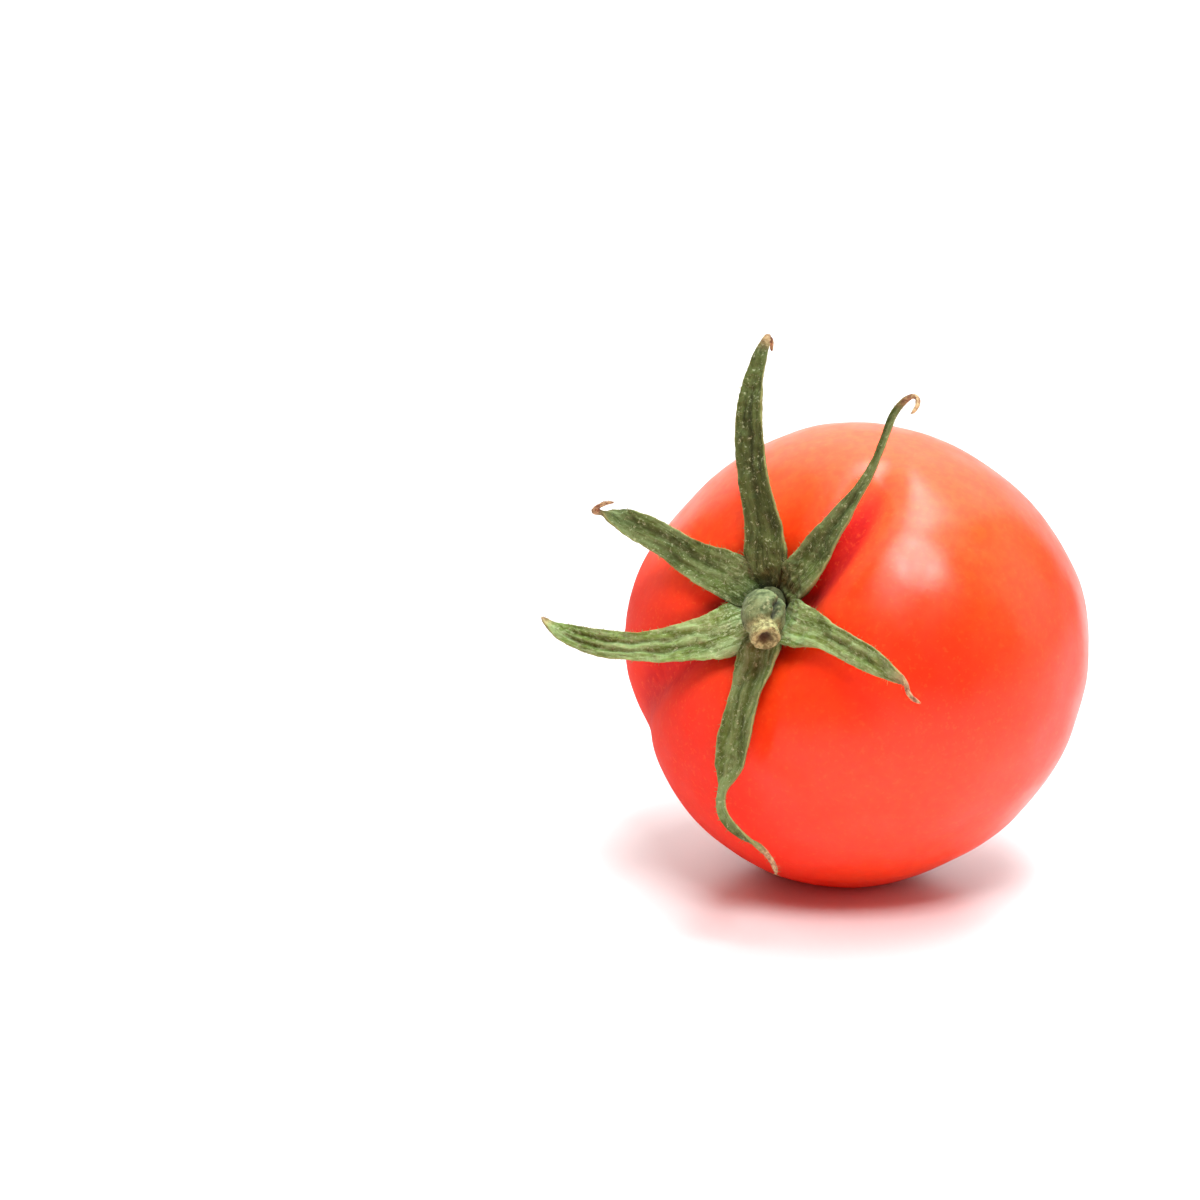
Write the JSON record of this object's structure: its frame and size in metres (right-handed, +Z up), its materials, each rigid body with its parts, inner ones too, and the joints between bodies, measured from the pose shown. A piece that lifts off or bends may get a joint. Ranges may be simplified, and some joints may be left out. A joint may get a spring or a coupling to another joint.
{
  "type": "tomato",
  "caption": "Round ripe tomato lying on its side on a small flat spot, with its green calyx of curling sepals and a short bent stub of stalk.",
  "frame": {"origin": "the middle of the flat spot that the fruit rests on", "axes": "+Z up, away from the surface that it rests on; +Y away from the viewer of the picture, whose view is level but for looking down 17 degrees; +X to that viewer's right"},
  "size_m": [0.0818, 0.0736, 0.0829],
  "materials": {
    "skin": "glossy waxy tomato skin, orange-red, deeper red in the furrows",
    "receptacle": "matte green plant tissue",
    "sepal": "matte hairy green leaf, blotched light and dark, drying to tan at the tips",
    "stalk": "matte grey-green stalk with a dry tan end"
  },
  "bodies": {
    "root": {"fruit": "skin", "receptacle": "receptacle", "sepal_top": "sepal", "sepal_upper_right": "sepal", "sepal_lower_right": "sepal", "sepal_bottom": "sepal", "sepal_left": "sepal", "sepal_upper_left": "sepal", "stalk": "stalk"}
  },
  "joints": []
}
